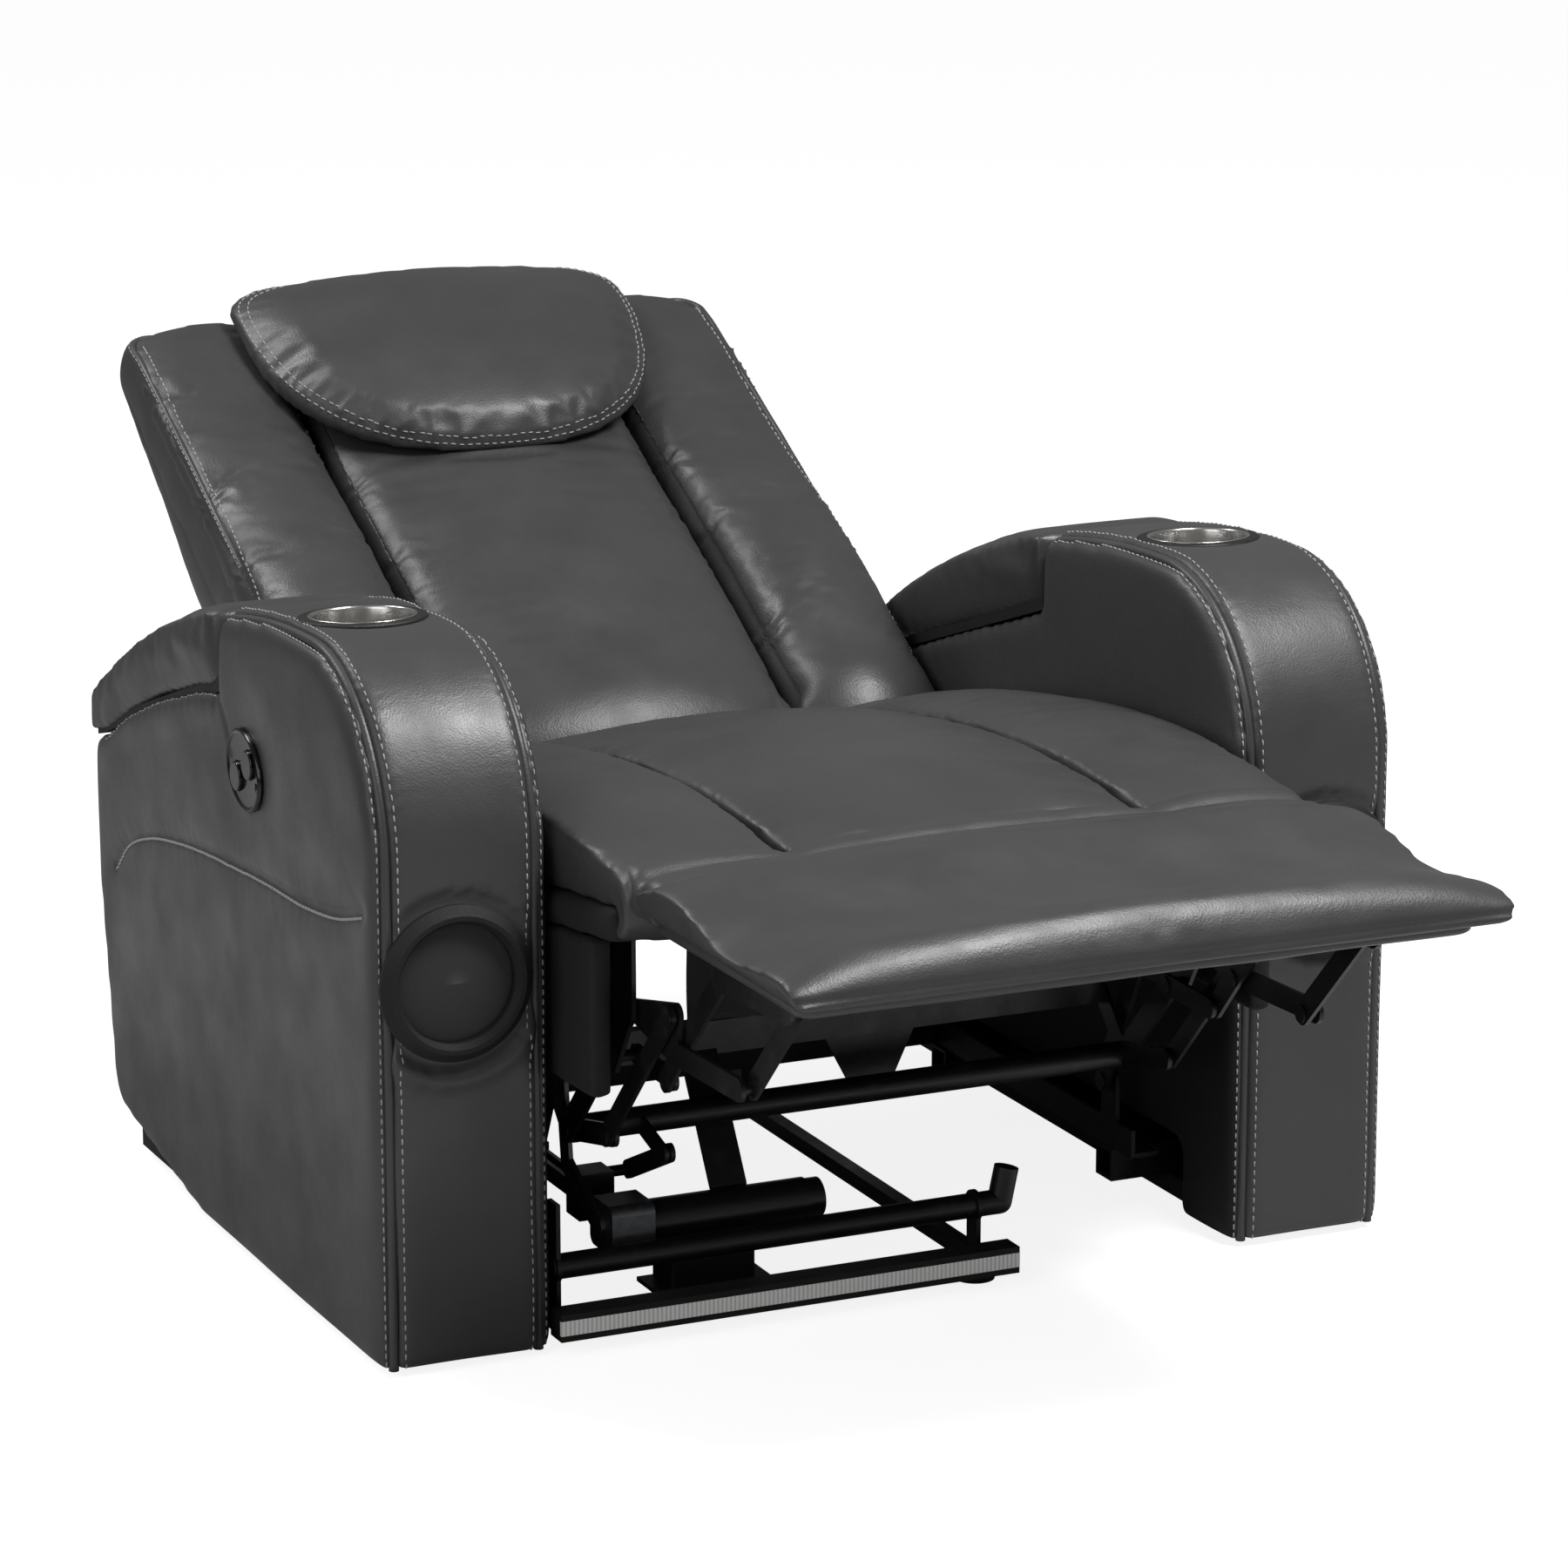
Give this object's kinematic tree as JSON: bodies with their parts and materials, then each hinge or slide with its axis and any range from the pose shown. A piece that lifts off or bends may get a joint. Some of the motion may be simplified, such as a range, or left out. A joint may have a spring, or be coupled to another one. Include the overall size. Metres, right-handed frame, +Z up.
{
  "type": "power recliner",
  "caption": "Power recliner with wide padded arms, cup holders, lift-up armrest lids, a three-panel back and seat, head pillow and a padded footrest on a link mechanism, shown fully open.",
  "frame": {"origin": "middle of the open chair's length and width, on the floor", "axes": "+Y to the rear, +X across to the right seen from the front, +Z up"},
  "size_m": [0.967, 1.636, 0.7411],
  "materials": {
    "upholstery": "semi-gloss charcoal leatherette",
    "padding": "dark padded cloth",
    "wood": "plain plywood",
    "steel": "satin black paint",
    "cup_metal": "brushed",
    "black_plastic": "matt black",
    "gloss_black": "gloss black",
    "grille": "dark grey mesh",
    "lens": "pale grey lens",
    "gear_grey": "cast grey",
    "motor_skin": "black motor can",
    "glide": "black plastic"
  },
  "bodies": {
    "base": {"arm_left_outer_panel": "upholstery", "arm_left_inner_panel": "upholstery", "arm_left_band": "upholstery", "arm_right_outer_panel": "upholstery", "arm_right_inner_panel": "upholstery", "arm_right_band": "upholstery", "arm_rear_pads": "upholstery", "arm_frames": "wood", "storage_bins": "black_plastic", "cup_inserts": "cup_metal", "speaker_rings": "black_plastic", "speaker_grilles": "grille", "lid_hinges": "steel", "control_bezel": "gloss_black", "glides": "glide", "base_cross_members": "steel", "base_rails": "steel", "floor_frame": "steel", "front_tube": "steel", "light_housing": "black_plastic", "light_lens": "lens", "power_box": "black_plastic"},
    "seat": {"seat_panel_left": "upholstery", "seat_panel_centre": "upholstery", "seat_panel_right": "upholstery", "seat_base": "padding", "seat_aprons": "padding", "side_plates": "steel", "seat_cross_bar": "steel", "gearbox": "gear_grey", "motor": "motor_skin", "track": "steel"},
    "back": {"back_bolster_left": "upholstery", "back_centre": "upholstery", "back_bolster_right": "upholstery", "head_pillow": "upholstery", "back_shell": "padding", "back_brackets": "steel"},
    "footrest": {"footrest_pad": "upholstery", "footrest_board": "wood", "footrest_brackets": "steel"},
    "front_links": {"front_links": "steel"},
    "lower_links": {"lower_links": "steel"},
    "rear_links": {"rear_links": "steel"},
    "upper_links": {"upper_links": "steel"},
    "drive_bars": {"drive_bars": "steel"},
    "torque_tube": {"torque_tube": "steel"},
    "drive_slider": {"drive_slider": "steel"},
    "drive_link": {"drive_link": "steel"},
    "swing_front": {"swing_links_front": "steel"},
    "swing_rear": {"swing_links_rear": "steel"},
    "lid_left": {"lid_left": "upholstery", "lid_board_left": "wood"},
    "lid_right": {"lid_right": "upholstery", "lid_board_right": "wood"},
    "button_open": {"button_open": "gloss_black"},
    "button_close": {"button_close": "gloss_black"}
  },
  "joints": [
    {"name": "recline", "type": "slide", "parent": "base", "child": "seat", "axis": [0, 1, 0], "range_m": [0, 0.13]},
    {"name": "back_tilt", "type": "hinge", "parent": "seat", "child": "back", "pos_m": [0, 0.27679, 0.34127], "axis": [1, 0, 0], "range_deg": [0, 42.02]},
    {"name": "footrest", "type": "hinge", "parent": "seat", "child": "footrest", "pos_m": [0, -0.46804, 0.421], "axis": [1, 0, 0], "range_deg": [0, 90]},
    {"name": "front_link", "type": "hinge", "parent": "seat", "child": "front_links", "pos_m": [0, -0.38405, 0.30402], "axis": [1, 0, 0], "range_deg": [0, 91.12]},
    {"name": "lower_link", "type": "hinge", "parent": "front_links", "child": "lower_links", "pos_m": [0, -0.46404, 0.29002], "axis": [1, 0, 0], "range_deg": [-109.72, 0]},
    {"name": "rear_link", "type": "hinge", "parent": "seat", "child": "rear_links", "pos_m": [0, -0.35805, 0.25761], "axis": [1, 0, 0], "range_deg": [0, 94.32]},
    {"name": "upper_link", "type": "hinge", "parent": "front_links", "child": "upper_links", "pos_m": [0, -0.59354, 0.29402], "axis": [1, 0, 0], "range_deg": [-107.32, 0]},
    {"name": "drive_bar", "type": "hinge", "parent": "front_links", "child": "drive_bars", "pos_m": [0, -0.47004, 0.32299], "axis": [1, 0, 0], "range_deg": [-91.12, 0]},
    {"name": "torque", "type": "hinge", "parent": "seat", "child": "torque_tube", "pos_m": [0, -0.24804, 0.16201], "axis": [1, 0, 0], "range_deg": [0, 91.12]},
    {"name": "drive_slide", "type": "slide", "parent": "seat", "child": "drive_slider", "axis": [0, 1, 0], "range_m": [0, 0.07863]},
    {"name": "drive_link_pin", "type": "hinge", "parent": "drive_slider", "child": "drive_link", "pos_m": [0, -0.21116, 0.106], "axis": [1, 0, 0], "range_deg": [0, 23.29]},
    {"name": "swing_front", "type": "hinge", "parent": "base", "child": "swing_front", "pos_m": [0, -0.19304, 0.1208], "axis": [1, 0, 0], "range_deg": [-51.38, 0]},
    {"name": "swing_rear", "type": "hinge", "parent": "base", "child": "swing_rear", "pos_m": [0, 0.14696, 0.1208], "axis": [1, 0, 0], "range_deg": [-51.38, 0]},
    {"name": "lid_left", "type": "hinge", "parent": "base", "child": "lid_left", "pos_m": [0, 0.39326, 0.393], "axis": [-1, 0, 0], "range_deg": [0, 80]},
    {"name": "lid_right", "type": "hinge", "parent": "base", "child": "lid_right", "pos_m": [0, 0.39326, 0.393], "axis": [-1, 0, 0], "range_deg": [0, 80]},
    {"name": "button_open", "type": "slide", "parent": "base", "child": "button_open", "axis": [1, 0, 0], "range_m": [0, 0.002], "stiffness_N_per_m": 600},
    {"name": "button_close", "type": "slide", "parent": "base", "child": "button_close", "axis": [1, 0, 0], "range_m": [0, 0.002], "stiffness_N_per_m": 600}
  ],
  "couplings": [
    {"joint": "back_tilt", "follows": "recline", "rad_per_m": 5.6388},
    {"joint": "swing_front", "follows": "recline", "rad_per_m": -6.8952},
    {"joint": "swing_rear", "follows": "recline", "rad_per_m": -6.8952},
    {"joint": "front_link", "follows": "footrest", "ratio": 1.0122},
    {"joint": "lower_link", "follows": "footrest", "ratio": -1.2189},
    {"joint": "rear_link", "follows": "footrest", "ratio": 1.0478},
    {"joint": "upper_link", "follows": "footrest", "ratio": -1.1922},
    {"joint": "drive_bar", "follows": "footrest", "ratio": -1.0122},
    {"joint": "torque", "follows": "footrest", "ratio": 1.0122},
    {"joint": "drive_slide", "follows": "footrest", "m_per_rad": 0.050052},
    {"joint": "drive_link_pin", "follows": "footrest", "ratio": 0.2585}
  ]
}
